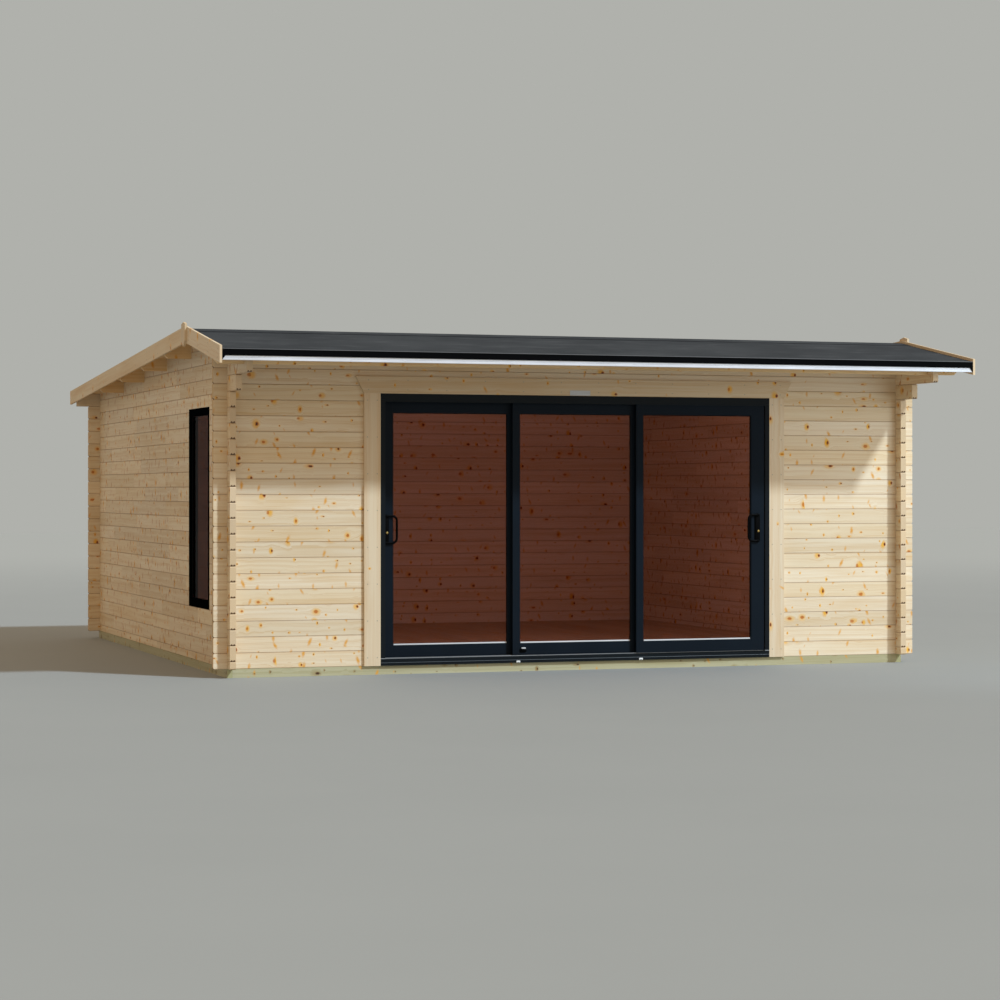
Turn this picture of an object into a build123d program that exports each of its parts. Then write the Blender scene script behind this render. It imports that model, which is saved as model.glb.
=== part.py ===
import os
from math import radians, tan

from build123d import *

# A log cabin with an off-centre ridge and a triple sliding glass door.
# Millimetres; +X is right, +Y runs from the door to the back wall, +Z is up.
# The origin lies on the ground, under the middle of the roof's outline.

# Log walls
cabin_width = 5300        # outer faces of the side walls
cabin_depth = 5260        # outer faces of the front and rear walls
log_pitch = 112           # height that one course of logs covers
log_thickness = 44
log_bevel = 3             # bevel that makes the groove between two courses
log_end_bevel = 8         # bevel over and under the open end of a log
log_end_side = 100        # front and rear logs run past the side walls
log_end_front = 85        # side logs run past the front and rear walls
corbel_short = 270        # the lower corbel's reach in front of the wall
corbel_long = 600         # the upper corbel's reach, which carries the eave purlin

# Base and floor
bearer_width = 38
bearer_height = 63
joist_rows = 10
joist_inset = 90          # first and last joist, from the outer wall faces
floor_thickness = 19
floor_edge_gap = 5        # room for the floor to swell, inside the walls

# Roof, with heights measured plumb
ridge_height = 2505       # where the tops of the barge boards meet
ridge_setback = 380       # behind the front wall's outer face
front_pitch = 9.87        # degrees
rear_pitch = 3.15         # degrees
eave_front = 760
eave_rear = 236
gable_overhang = 222
barge_height = 119
barge_thickness = 17
felt_recess = 21          # the barge boards stand this far above the felt
felt_thickness = 4
felt_drop = 47            # felt turned down over the eave
eave_setback = 3          # felt behind the ends of the barge boards
eave_strip_show = 31      # pale strip left in view below the felt
eave_strip_thickness = 16
roof_board = 19
purlin_height = 98
purlin_first = 870        # behind the ridge
purlin_spacing = 933
purlin_rows = 4
purlin_end_bevel = 28     # lower corner at each end of a purlin
eave_purlin_reach = 520   # its front face, ahead of the front wall
finial_width = 128
finial_thickness = 16
finial_rise = 27          # above the ridge
finial_drop = 30          # below the barge boards
finial_shoulder = 14
finial_point = 42

# Sliding door
door_width = 3060
door_height = 1960
lining_thickness = 20
trim_width = 122
trim_thickness = 20
trim_flare = 62           # the head trim is this much longer at its top, each side
jamb_face = 35
sill_height = 45
head_height = 45
track_spacing = 44
track_margin = 23         # first and last track, from the faces of the frame
track_rib_width = 6
track_rib_height = 8
guide_fin_thickness = 3
guide_fin_height = 14
panel_thickness = 30
left_lock_stile = 76
right_lock_stile = 104
meeting_stile = 52
panel_rail = 80
panel_overlap = 30
panel_clearance = 5       # round a moving panel, away from its runner
glass_thickness = 6
glass_rebate = 10
pane_gap = 1              # putty room round a pane's edge
plate_width = 160
plate_height = 37
plate_thickness = 2
plate_lift = 2
drain_cap_width = 30
drain_cap_height = 16
drain_cap_thickness = 3
drain_cap_offset = 483    # from the middle of the door

# Pull handles and the middle panel's bolt
handle_height = 220
handle_centre = 979       # above the foot of the door frame
handle_plate = 46
handle_plate_depth = 8
left_handle_inset = 4     # from the panel's closing edge
right_handle_inset = 34
handle_reach = 64         # bow, past the plate
handle_bar = 11
handle_bow_depth = 10
handle_corner = 30
bolt_width = 54
bolt_height = 38
bolt_depth = 8
bolt_lift = 18            # above the foot of the panel

# Side window
window_width = 728
window_height = 1480
window_courses = 3.5      # courses of logs below it
window_setback = 590      # behind the front wall's outer face
window_face = 50
window_depth = 60
window_glass_recess = 20

# Clearance between pieces that rest on or against each other
seat_gap = 0.3

# Reference planes that follow from the sizes above
half_width = cabin_width / 2
y_front = (eave_front - cabin_depth - eave_rear) / 2
y_rear = y_front + cabin_depth
y_ridge = y_front + ridge_setback
y_eave_front = y_front - eave_front
y_eave_rear = y_rear + eave_rear
front_slope = tan(radians(front_pitch))
rear_slope = tan(radians(rear_pitch))
wall_base = bearer_height + seat_gap
barge_inner = half_width + gable_overhang - barge_thickness
roof_half = barge_inner - seat_gap
log_reach = half_width + log_end_side
felt_under_drop = felt_recess + felt_thickness
board_top_drop = felt_under_drop + seat_gap
board_under_drop = board_top_drop + roof_board
timber_top_drop = board_under_drop + seat_gap
far = 4 * cabin_width     # long enough to cut right through anything

os.makedirs("parts", exist_ok=True)


def block(x0, x1, y0, y1, z0, z1):
    return Pos((x0 + x1) / 2, (y0 + y1) / 2, (z0 + z1) / 2) * Box(x1 - x0, y1 - y0, z1 - z0)


def prism_x(outline, x0, x1):
    """A solid along X whose outline is a list of (y, z) corners."""
    corners = [(x0, y, z) for y, z in outline]
    return extrude(make_face(Polyline(*corners, close=True)), amount=x1 - x0, dir=(1, 0, 0))


def prism_y(outline, y0, y1):
    """A solid along Y whose outline is a list of (x, z) corners."""
    corners = [(x, y0, z) for x, z in outline]
    return extrude(make_face(Polyline(*corners, close=True)), amount=y1 - y0, dir=(0, 1, 0))


def save(name, *pieces):
    """Write the solids of one node to its own file."""
    solids = [solid for piece in pieces for solid in piece.solids()]
    export_step(Compound(label=name, children=solids), f"parts/{name}.step")


def roof_line(y, drop=0.0):
    """Height at y of a plane that lies `drop` below the tops of the barge boards."""
    slope = front_slope if y < y_ridge else rear_slope
    return ridge_height - drop - slope * abs(y - y_ridge)


# Log walls


def log_section(side, z0, z1):
    """Bevelled outline of a log whose outer or inner face stands at `side`."""
    far_side = side + log_thickness
    return [
        (side + log_bevel, z0), (far_side - log_bevel, z0), (far_side, z0 + log_bevel),
        (far_side, z1 - log_bevel), (far_side - log_bevel, z1), (side + log_bevel, z1),
        (side, z1 - log_bevel), (side, z0 + log_bevel),
    ]


def end_outline(start, end, z0, z1, bevelled):
    """Outline of a log seen from the side, with the ends in `bevelled` eased at top and bottom."""
    first = log_end_bevel if start in bevelled else 0
    last = log_end_bevel if end in bevelled else 0
    corners = [
        (start + first, z0), (end - last, z0), (end, z0 + last), (end, z1 - last),
        (end - last, z1), (start + first, z1), (start, z1 - first), (start, z0 + first),
    ]
    return [corner for n, corner in enumerate(corners) if corner != corners[n - 1]]


def course_levels(top, first):
    """Bottom and top of each log, from the bearers up to the roof at height `top`."""
    start = wall_base + first
    count = max(1, round((top - start) / log_pitch))
    levels = [(start + n * log_pitch, start + (n + 1) * log_pitch - seat_gap) for n in range(count)]
    levels[-1] = (levels[-1][0], max(levels[-1][1], top + log_pitch / 4))
    return levels


def saddle_cuts(level, crossing, along_x, half_log=False):
    """Housings over and under a log where a log of the other wall crosses it."""
    z0, z1 = level
    low = crossing - seat_gap
    high = crossing + log_thickness + seat_gap
    core_bottom = z0 if half_log else z0 + log_pitch / 4
    core_top = core_bottom + (log_pitch / 4 if half_log else log_pitch / 2) - seat_gap
    cuts = []
    for z_from, z_to in ((core_top, z1 + log_pitch), (z0 - log_pitch, core_bottom)):
        if z_to <= z0:
            continue
        if along_x:
            cuts.append(block(low, high, -far, far, z_from, z_to))
        else:
            cuts.append(block(-far, far, low, high, z_from, z_to))
    return cuts


above_roof = prism_x(
    [
        (y_eave_front - eave_front, roof_line(y_eave_front - eave_front, timber_top_drop)),
        (y_ridge, roof_line(y_ridge, timber_top_drop)),
        (y_eave_rear + eave_rear, roof_line(y_eave_rear + eave_rear, timber_top_drop)),
        (y_eave_rear + eave_rear, 2 * ridge_height),
        (y_eave_front - eave_front, 2 * ridge_height),
    ],
    -far,
    far,
)

side_crossings = (-half_width, half_width - log_thickness)
wall_crossings = (y_front, y_rear - log_thickness)


def cross_log(level, y_face, x0, x1):
    """One log of the front or rear wall, housed where the side walls cross it."""
    log = prism_x(log_section(y_face, *level), x0, x1)
    log &= prism_y(end_outline(x0, x1, *level, (-log_reach, log_reach)), y_face, y_face + log_thickness)
    cuts = []
    for crossing in side_crossings:
        if x0 < crossing and crossing + log_thickness < x1:
            cuts += saddle_cuts(level, crossing, along_x=True)
    if level[1] > min(roof_line(y_face, timber_top_drop), roof_line(y_face + log_thickness, timber_top_drop)):
        cuts.append(above_roof)
    return log - cuts if cuts else log


front_levels = course_levels(roof_line(y_front, timber_top_drop), 0)
rear_levels = course_levels(roof_line(y_rear, timber_top_drop), 0)
side_levels = course_levels(roof_line(y_ridge, timber_top_drop), log_pitch / 2)

door_base = bearer_height + seat_gap
door_top = door_base + door_height
lining_half = door_width / 2 + seat_gap + lining_thickness
lining_top = door_top + seat_gap + lining_thickness
opening_half = lining_half + seat_gap
opening_top = lining_top + seat_gap

stub_levels = [level for level in front_levels if level[0] < opening_top]
left_stubs = [cross_log(level, y_front, -log_reach, -opening_half) for level in stub_levels]
right_stubs = [cross_log(level, y_front, opening_half, log_reach) for level in stub_levels]
save("front_wall_left", *left_stubs)
save("front_wall_right", *right_stubs)

over_door = cross_log(stub_levels[-1], y_front, -opening_half + seat_gap, opening_half - seat_gap)
over_door -= block(-far, far, -far, far, 0, opening_top)
head_logs = [
    cross_log(level, y_front, -log_reach, log_reach) for level in front_levels if level[0] >= opening_top
]
save("front_wall_head", over_door, *head_logs)

rear_logs = [cross_log(level, y_rear - log_thickness, -log_reach, log_reach) for level in rear_levels[:-1]]
rear_logs.append(cross_log(rear_levels[-1], y_rear - log_thickness, -roof_half, roof_half))
save("rear_wall", *rear_logs)

# Purlins, which sit in housings in the side walls


def purlin_outline(y0, y1, drop):
    """Square-cut beam whose top follows the roof over it."""
    bottom = roof_line((y0 + y1) / 2, drop)
    outline = [(y0, bottom), (y1, bottom), (y1, roof_line(y1, timber_top_drop))]
    if y0 < y_ridge < y1:
        outline.append((y_ridge, roof_line(y_ridge, timber_top_drop)))
    outline.append((y0, roof_line(y0, timber_top_drop)))
    return outline


def purlin_span(centre):
    return centre - log_thickness / 2, centre + log_thickness / 2


purlin_drop = timber_top_drop + purlin_height
rear_centres = [y_ridge + purlin_first + n * purlin_spacing for n in range(purlin_rows)]
ridge_span = purlin_span(y_ridge)
rear_spans = [purlin_span(centre) for centre in rear_centres]
eave_span = (y_front - eave_purlin_reach, y_front - eave_purlin_reach + log_thickness)
eave_purlin_drop = timber_top_drop + log_pitch



def purlin(span, drop):
    """One beam from gable to gable, with the lower corner of each end bevelled off."""
    beam = prism_x(purlin_outline(*span, drop), -roof_half, roof_half)
    foot = roof_line(sum(span) / 2, drop)
    start = roof_half - purlin_end_bevel
    for hand in (-1, 1):
        corner = [(hand * start, foot), (hand * roof_half, foot), (hand * roof_half, foot + purlin_end_bevel)]
        beam -= prism_y(corner, *span)
    return beam


save("ridge_purlin", purlin(ridge_span, purlin_drop))
save("rear_purlins", *[purlin(span, purlin_drop) for span in rear_spans])
save("eave_purlin", purlin(eave_span, eave_purlin_drop))


def housing(span, drop):
    """Room in a side wall for a purlin and its fitting gap."""
    bottom = roof_line(sum(span) / 2, drop) - seat_gap
    return block(-far, far, span[0] - seat_gap, span[1] + seat_gap, bottom, 2 * ridge_height)


housings = [(span, housing(span, purlin_drop)) for span in [ridge_span] + rear_spans]
housings.append((eave_span, housing(eave_span, eave_purlin_drop)))
lowest_housing = roof_line(y_rear, purlin_drop)

window_y0 = y_front + window_setback
window_y1 = window_y0 + window_width
window_z0 = wall_base + window_courses * log_pitch
window_z1 = window_z0 + window_height
window_hole = block(
    -far, 0, window_y0 - seat_gap, window_y1 + seat_gap, window_z0 - seat_gap, window_z1 + seat_gap
)

corbel_index = max(
    n for n, level in enumerate(side_levels)
    if level[0] < roof_line(sum(eave_span) / 2, eave_purlin_drop) - log_pitch / 8
)


def side_log(index, x_face, half_log=False):
    """One log of a side wall, with its corner housings and its seats for purlins."""
    level = (wall_base, wall_base + log_pitch / 2 - seat_gap) if half_log else side_levels[index]
    reach = log_end_front
    if not half_log and index == corbel_index:
        reach = corbel_long
    if not half_log and index == corbel_index - 1:
        reach = corbel_short
    y0 = y_front - reach
    y1 = y_rear + log_end_front
    log = prism_y(log_section(x_face, *level), y0, y1)
    log &= prism_x(end_outline(y0, y1, *level, (y0, y1)), x_face, x_face + log_thickness)
    cuts = []
    for crossing in wall_crossings:
        cuts += saddle_cuts(level, crossing, along_x=False, half_log=half_log)
    if level[1] > roof_line(y1, timber_top_drop):
        cuts.append(above_roof)
    if level[1] > lowest_housing:
        cuts += [cutter for span, cutter in housings if y0 < span[1]]
    if x_face < 0 and level[1] > window_z0 and level[0] < window_z1:
        cuts.append(window_hole)
    return log - cuts


for name, x_face in (("left_wall", -half_width), ("right_wall", half_width - log_thickness)):
    side_logs = [side_log(0, x_face, half_log=True)]
    side_logs += [side_log(index, x_face) for index in range(len(side_levels))]
    save(name, *side_logs)

# Bearers on the ground, joists and floor

for name, x0 in (("bearer_left", -half_width), ("bearer_right", half_width - bearer_width)):
    save(name, block(x0, x0 + bearer_width, y_front, y_rear, 0, bearer_height))

bearer_half = half_width - bearer_width - seat_gap
for name, y0 in (("bearer_front", y_front), ("bearer_rear", y_rear - bearer_width)):
    left_half = block(-bearer_half, -seat_gap / 2, y0, y0 + bearer_width, 0, bearer_height)
    right_half = block(seat_gap / 2, bearer_half, y0, y0 + bearer_width, 0, bearer_height)
    save(name, left_half, right_half)

joist_pitch = (cabin_depth - 2 * joist_inset) / (joist_rows - 1)
joist_lines = [y_front + joist_inset + n * joist_pitch for n in range(joist_rows)]
joists = [
    block(-bearer_half, bearer_half, y - bearer_width / 2, y + bearer_width / 2, 0, bearer_height)
    for y in joist_lines
]
save("floor_joists", *joists)

frame_depth = 2 * (track_spacing + track_margin)
frame_y0 = y_front - trim_thickness
frame_y1 = frame_y0 + frame_depth
floor_inset = log_thickness + floor_edge_gap
floor_half = half_width - floor_inset
floor_top = wall_base + floor_thickness
floor = block(-floor_half, floor_half, y_front + floor_inset, y_rear - floor_inset, wall_base, floor_top)
floor -= block(-opening_half, opening_half, -far, frame_y1 + seat_gap, 0, far)
save("floor", floor)

# Roof boards, felt, eave strips, barge boards and finials

felt_front = y_eave_front + eave_setback
felt_rear = y_eave_rear - eave_setback


def roof_side(eave, inward):
    """Outlines of one slope: its boards, felt and eave strip, from eave to ridge."""
    top = y_ridge - inward * seat_gap / 2
    strip_out = eave + inward * (felt_thickness + seat_gap)
    strip_in = strip_out + inward * eave_strip_thickness
    board_end = strip_in + inward * seat_gap
    felt_in = eave + inward * felt_thickness
    boards = [
        (board_end, roof_line(board_end, board_top_drop)), (top, roof_line(top, board_top_drop)),
        (top, roof_line(top, board_under_drop)), (board_end, roof_line(board_end, board_under_drop)),
    ]
    lip = roof_line(eave, felt_recess) - felt_drop
    felt = [
        (eave, roof_line(eave, felt_recess)), (top, roof_line(top, felt_recess)),
        (top, roof_line(top, felt_under_drop)), (felt_in, roof_line(felt_in, felt_under_drop)),
        (felt_in, lip), (eave, lip),
    ]
    strip_foot = lip - eave_strip_show
    strip = [
        (strip_out, roof_line(strip_out, board_top_drop)), (strip_in, roof_line(strip_in, board_top_drop)),
        (strip_in, strip_foot), (strip_out, strip_foot),
    ]
    return boards, felt, strip


for side, eave, inward in (("front", felt_front, 1), ("rear", felt_rear, -1)):
    boards, felt, strip = roof_side(eave, inward)
    save(f"roof_boards_{side}", prism_x(boards, -roof_half, roof_half))
    save(f"felt_{side}", prism_x(felt, -roof_half, roof_half))
    save(f"eave_strip_{side}", prism_x(strip, -roof_half, roof_half))


def barge_outline(end, inward):
    top = y_ridge - inward * seat_gap / 2
    return [
        (end, roof_line(end)), (top, roof_line(top)),
        (top, roof_line(top, barge_height)), (end, roof_line(end, barge_height)),
    ]


finial_top = ridge_height + finial_rise
finial_foot = ridge_height - barge_height - finial_drop
finial_y0 = y_ridge - finial_width / 2
finial_y1 = y_ridge + finial_width / 2
finial_outline = [
    (y_ridge, finial_foot), (finial_y1, finial_foot + finial_point),
    (finial_y1, finial_top - finial_shoulder), (y_ridge, finial_top),
    (finial_y0, finial_top - finial_shoulder), (finial_y0, finial_foot + finial_point),
]

for side, hand in (("left", -1), ("right", 1)):
    inner = hand * barge_inner
    outer = hand * (barge_inner + barge_thickness)
    x0, x1 = sorted((inner, outer))
    save(f"barge_{side}_front", prism_x(barge_outline(y_eave_front, 1), x0, x1))
    save(f"barge_{side}_rear", prism_x(barge_outline(y_eave_rear, -1), x0, x1))
    x0, x1 = sorted((outer + hand * seat_gap, outer + hand * (seat_gap + finial_thickness)))
    save(f"finial_{side}", prism_x(finial_outline, x0, x1))

# Door lining and trim, in timber

lining_in = door_width / 2 + seat_gap
lining_foot = wall_base
lining_left = block(-lining_half, -lining_in, y_front, frame_y1, lining_foot, door_top)
lining_right = mirror(lining_left, about=Plane.YZ)
lining_head = block(-lining_half, lining_half, y_front, frame_y1, door_top + seat_gap, lining_top)
save("door_lining", lining_left, lining_right, lining_head)

trim_back = y_front - seat_gap
trim_in = door_width / 2 + seat_gap
trim_out = trim_in + trim_width
trim_left = block(-trim_out, -trim_in, frame_y0, trim_back, door_base, door_top)
trim_right = mirror(trim_left, about=Plane.YZ)
head_trim_foot = door_top + seat_gap
head_trim_top = head_trim_foot + trim_width
head_trim = prism_y(
    [
        (-trim_out, head_trim_foot), (trim_out, head_trim_foot),
        (trim_out + trim_flare, head_trim_top), (-trim_out - trim_flare, head_trim_top),
    ],
    frame_y0,
    trim_back,
)
save("door_trim", trim_left, trim_right, head_trim)

plate_foot = head_trim_foot + plate_lift
plate_back = frame_y0 - seat_gap
plate_half = plate_width / 2
plate_top = plate_foot + plate_height
plate = block(-plate_half, plate_half, plate_back - plate_thickness, plate_back, plate_foot, plate_top)
save("door_plate", plate)

# Aluminium door frame: a sill with a rib under each panel, and a head with fins between them

frame_half = door_width / 2
tracks = [frame_y0 + track_margin + n * track_spacing for n in range(3)]
sill_top = door_base + sill_height
head_foot = door_top - head_height
sill = block(-frame_half, frame_half, frame_y0, frame_y1, door_base, sill_top)
rib_top = sill_top + track_rib_height
for y in tracks:
    rib_y0 = y - track_rib_width / 2
    sill += block(-frame_half + jamb_face + seat_gap, frame_half - jamb_face - seat_gap,
                  rib_y0, rib_y0 + track_rib_width, sill_top, rib_top)

head = block(-frame_half, frame_half, frame_y0, frame_y1, head_foot, door_top)
fin_lines = [(y + track_spacing / 2 - guide_fin_thickness / 2) for y in tracks[:-1]]
fin_lines = [frame_y0] + fin_lines + [frame_y1 - guide_fin_thickness]
for y in fin_lines:
    head += block(-frame_half + jamb_face + seat_gap, frame_half - jamb_face - seat_gap,
                  y, y + guide_fin_thickness, head_foot - guide_fin_height, head_foot)

jamb_left = block(
    -frame_half, -frame_half + jamb_face, frame_y0, frame_y1, sill_top + seat_gap, head_foot - seat_gap
)
jamb_right = mirror(jamb_left, about=Plane.YZ)
save("door_frame", sill, head, jamb_left, jamb_right)

caps = []
for x in (-drain_cap_offset, drain_cap_offset):
    caps.append(
        block(x - drain_cap_width / 2, x + drain_cap_width / 2, frame_y0 - seat_gap - drain_cap_thickness,
              frame_y0 - seat_gap, door_base, door_base + drain_cap_height)
    )
save("drain_caps", *caps)

# Sliding panels: the right one runs in front, the left one at the back

clear_half = frame_half - jamb_face
panel_foot = rib_top + seat_gap
panel_top = head_foot - panel_clearance
stile_sum = left_lock_stile + 4 * meeting_stile + right_lock_stile
pane_view = (2 * (clear_half - panel_clearance + panel_overlap) - stile_sum) / 3
left_panel_width = left_lock_stile + pane_view + meeting_stile
middle_panel_width = meeting_stile + pane_view + meeting_stile
right_panel_width = meeting_stile + pane_view + right_lock_stile
left_panel_x = -clear_half + panel_clearance
middle_panel_x = left_panel_x + left_panel_width - panel_overlap
right_panel_x = middle_panel_x + middle_panel_width - panel_overlap


def framed_pane(x0, x1, y0, depth, z0, z1, sides, rails, glass_y0):
    """Two stiles, two rails between them, and the pane that their grooves hold."""
    x_in = x0 + sides[0]
    x_out = x1 - sides[1]
    z_in = z0 + rails
    z_out = z1 - rails
    hold = glass_rebate
    room = glass_rebate + pane_gap
    pane = block(x_in - hold, x_out + hold, glass_y0, glass_y0 + glass_thickness, z_in - hold, z_out + hold)
    groove = block(x_in - room, x_out + room, glass_y0 - seat_gap, glass_y0 + glass_thickness + seat_gap,
                   z_in - room, z_out + room)
    members = [
        block(x0, x_in, y0, y0 + depth, z0, z1),
        block(x_out, x1, y0, y0 + depth, z0, z1),
        block(x_in + seat_gap, x_out - seat_gap, y0, y0 + depth, z0, z_in),
        block(x_in + seat_gap, x_out - seat_gap, y0, y0 + depth, z_out, z1),
    ]
    return [member - groove for member in members], pane


def pull_handle(root, face_y, opens):
    """A back plate beside x = root, and a bow that reaches from there over the pane, towards `opens`."""
    z_mid = door_base + handle_centre
    z0 = z_mid - handle_height / 2
    z1 = z_mid + handle_height / 2
    back = face_y - seat_gap
    front = back - handle_plate_depth
    x0, x1 = sorted((root, root - opens * handle_plate))
    plate = block(x0, x1, front, back, z0, z1)
    hole_reach = handle_reach - handle_bar
    hole_height = handle_height - 2 * handle_bar
    lap = handle_plate / 2
    outer = Pos(opens * (handle_reach - lap) / 2, 0) * Rectangle(handle_reach + lap, handle_height)
    hole = Pos(opens * hole_reach / 2, 0) * Rectangle(hole_reach, hole_height)
    far_end = -1 if opens > 0 else 0
    outer = fillet(outer.vertices().group_by(Axis.X)[far_end], handle_corner)
    hole = fillet(hole.vertices().group_by(Axis.X)[far_end], handle_corner - handle_bar)
    sheet = Plane(origin=(root, front, z_mid), x_dir=(1, 0, 0), z_dir=(0, -1, 0))
    bow = extrude(sheet * (outer - hole), amount=handle_bow_depth)
    return plate + bow


def sliding_panel(name, x0, width, track, sides):
    """One panel on its track; returns the y of its outer face."""
    face = track - panel_thickness / 2
    members, pane = framed_pane(x0, x0 + width, face, panel_thickness, panel_foot, panel_top,
                                sides, panel_rail, track - glass_thickness / 2)
    save(f"panel_{name}_frame", *members)
    save(f"panel_{name}_glass", pane)
    return face


left_sides = (left_lock_stile, meeting_stile)
middle_sides = (meeting_stile, meeting_stile)
right_sides = (meeting_stile, right_lock_stile)
right_face = sliding_panel("right", right_panel_x, right_panel_width, tracks[0], right_sides)
middle_face = sliding_panel("middle", middle_panel_x, middle_panel_width, tracks[1], middle_sides)
left_face = sliding_panel("left", left_panel_x, left_panel_width, tracks[2], left_sides)

left_root = left_panel_x + left_handle_inset + handle_plate
right_root = right_panel_x + right_panel_width - right_handle_inset - handle_plate
save("panel_left_handle", pull_handle(left_root, left_face, opens=1))
save("panel_right_handle", pull_handle(right_root, right_face, opens=-1))

bolt_x = middle_panel_x + meeting_stile
bolt_z = panel_foot + bolt_lift
bolt_back = middle_face - seat_gap
save(
    "panel_middle_bolt",
    block(bolt_x, bolt_x + bolt_width, bolt_back - bolt_depth, bolt_back, bolt_z, bolt_z + bolt_height),
)

# Travel of each panel, from closed
left_travel = middle_panel_x - panel_clearance - (left_root + handle_reach)
middle_travel = clear_half - panel_clearance - (middle_panel_x + middle_panel_width)
right_travel = right_panel_x - left_panel_x
print(f"travel: left 0 to {left_travel:.1f}, middle 0 to {middle_travel:.1f}, right {-right_travel:.1f} to 0")

# Fixed window in the left wall


def turned(piece):
    """Stand a piece that was drawn facing the front so that it faces left."""
    return Pos(-half_width, 0, 0) * Rot(0, 0, -90) * piece


window_parts, window_pane = framed_pane(
    -window_y1, -window_y0, 0, window_depth, window_z0, window_z1,
    (window_face, window_face), window_face, window_glass_recess,
)
save("window_frame", *[turned(member) for member in window_parts])
save("window_glass", turned(window_pane))
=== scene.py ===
import fnmatch
import math
import bmesh
import bpy
import numpy as np
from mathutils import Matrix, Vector


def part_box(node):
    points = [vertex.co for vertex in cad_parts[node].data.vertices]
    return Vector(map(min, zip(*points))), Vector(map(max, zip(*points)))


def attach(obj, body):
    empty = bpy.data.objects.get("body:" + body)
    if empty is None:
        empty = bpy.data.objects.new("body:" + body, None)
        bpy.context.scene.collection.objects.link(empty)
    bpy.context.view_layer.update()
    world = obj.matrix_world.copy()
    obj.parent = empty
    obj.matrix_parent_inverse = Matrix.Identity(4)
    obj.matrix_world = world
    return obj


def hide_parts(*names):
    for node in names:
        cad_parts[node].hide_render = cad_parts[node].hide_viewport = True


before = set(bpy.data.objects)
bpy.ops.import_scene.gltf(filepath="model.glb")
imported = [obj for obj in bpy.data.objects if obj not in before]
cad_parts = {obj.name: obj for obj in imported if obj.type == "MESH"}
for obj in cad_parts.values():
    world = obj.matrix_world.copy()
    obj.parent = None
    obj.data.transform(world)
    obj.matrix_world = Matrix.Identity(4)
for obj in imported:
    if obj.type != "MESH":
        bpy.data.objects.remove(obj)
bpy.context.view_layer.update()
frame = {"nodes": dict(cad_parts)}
nodes = frame["nodes"]
print("frame loaded:", len(nodes), "nodes")


# places taken from the frame, in metres
frameLow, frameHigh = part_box("door_frame")
trimLow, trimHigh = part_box("door_trim")
sideLow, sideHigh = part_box("left_wall")
frontLow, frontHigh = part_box("front_wall_left")
rearLow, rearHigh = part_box("rear_wall")
finialLow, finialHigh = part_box("finial_left")
ridgeY = (finialLow.y + finialHigh.y) / 2
sideMiddle = -(sideLow.x + sideHigh.x) / 2
frontMiddle = (frontLow.y + frontHigh.y) / 2
rearMiddle = (rearLow.y + rearHigh.y) / 2
wallBase = sideLow.z
logPitch = 0.112
frontSlope = math.tan(math.radians(9.87))
rearSlope = math.tan(math.radians(3.15))


def addObject(name, data):
    made = bpy.data.objects.new(name, data)
    bpy.context.scene.collection.objects.link(made)
    return made


# camera at the photo's angle

cameraSettings = {
    "place": (-6.604, -20.050, 1.325),
    "turn": (90.0, 0.0, -18.704),  # degrees
    "lens": 91.9,
    "sensor": 36.0,
    "lift": -0.00955,  # share of the picture's width
    "farthest": 200,
}
cameraData = bpy.data.cameras.new("photoCamera")
camera = addObject("photoCamera", cameraData)
camera.location = cameraSettings["place"]
camera.rotation_euler = [math.radians(angle) for angle in cameraSettings["turn"]]
cameraData.lens = cameraSettings["lens"]
cameraData.sensor_width = cameraSettings["sensor"]
cameraData.shift_y = cameraSettings["lift"]
cameraData.clip_end = cameraSettings["farthest"]
cameraData.dof.use_dof = False
bpy.context.scene.camera = camera
bpy.context.scene.view_settings.view_transform = "Standard"
print("camera ready")


# node maths


def linear(red, green, blue):
    # a screen colour of 0 to 255 as the light it stands for
    shares = np.array([red, green, blue]) / 255
    light = np.where(shares <= 0.04045, shares / 12.92, ((shares + 0.055) / 1.055) ** 2.4)
    return (*[round(float(value), 4) for value in light], 1.0)


def scaled(colour, share):
    return (*[min(1.0, value * share) for value in colour[:3]], 1.0)


class Wire:
    # one output of a node; arithmetic on wires adds Math nodes
    def __init__(self, finish, node, socket):
        self.finish = finish
        self.node = node
        self.socket = socket

    def out(self, name):
        return Wire(self.finish, self.node, self.node.outputs[name])

    def math(self, operation, first, second=None):
        return self.finish.add("Math", {"operation": operation}, {0: first, 1: second})

    def __add__(self, other):
        return self.math("ADD", self, other)

    __radd__ = __add__

    def __sub__(self, other):
        return self.math("SUBTRACT", self, other)

    def __rsub__(self, other):
        return self.math("SUBTRACT", other, self)

    def __mul__(self, other):
        return self.math("MULTIPLY", self, other)

    __rmul__ = __mul__

    def __truediv__(self, other):
        return self.math("DIVIDE", self, other)

    def __rtruediv__(self, other):
        return self.math("DIVIDE", other, self)

    def __pow__(self, other):
        return self.math("POWER", self, other)

    def __gt__(self, other):
        return self.math("GREATER_THAN", self, other)

    def __lt__(self, other):
        return self.math("LESS_THAN", self, other)

    def __abs__(self):
        return self.math("ABSOLUTE", self)

    def floor(self):
        return self.math("FLOOR", self)

    def wrap(self):
        return self.math("FRACT", self)

    def sine(self):
        return self.math("SINE", self)

    def length(self, other):
        # how far the point (self, other) lies from the origin
        return self.math("SQRT", self * self + other * other)

    def least(self, other):
        return self.math("MINIMUM", self, other)

    def most(self, other):
        return self.math("MAXIMUM", self, other)

    def ease(self, start, end, low=0.0, high=1.0):
        # low before start, high after end, smooth between
        settings = {"interpolation_type": "SMOOTHSTEP"}
        return self.finish.add("MapRange", settings, {0: self, 1: start, 2: end, 3: low, 4: high})

    def within(self, start, end):
        # 1 up to start, fading to 0 at end
        return self.ease(start, end, 1.0, 0.0)


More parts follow.
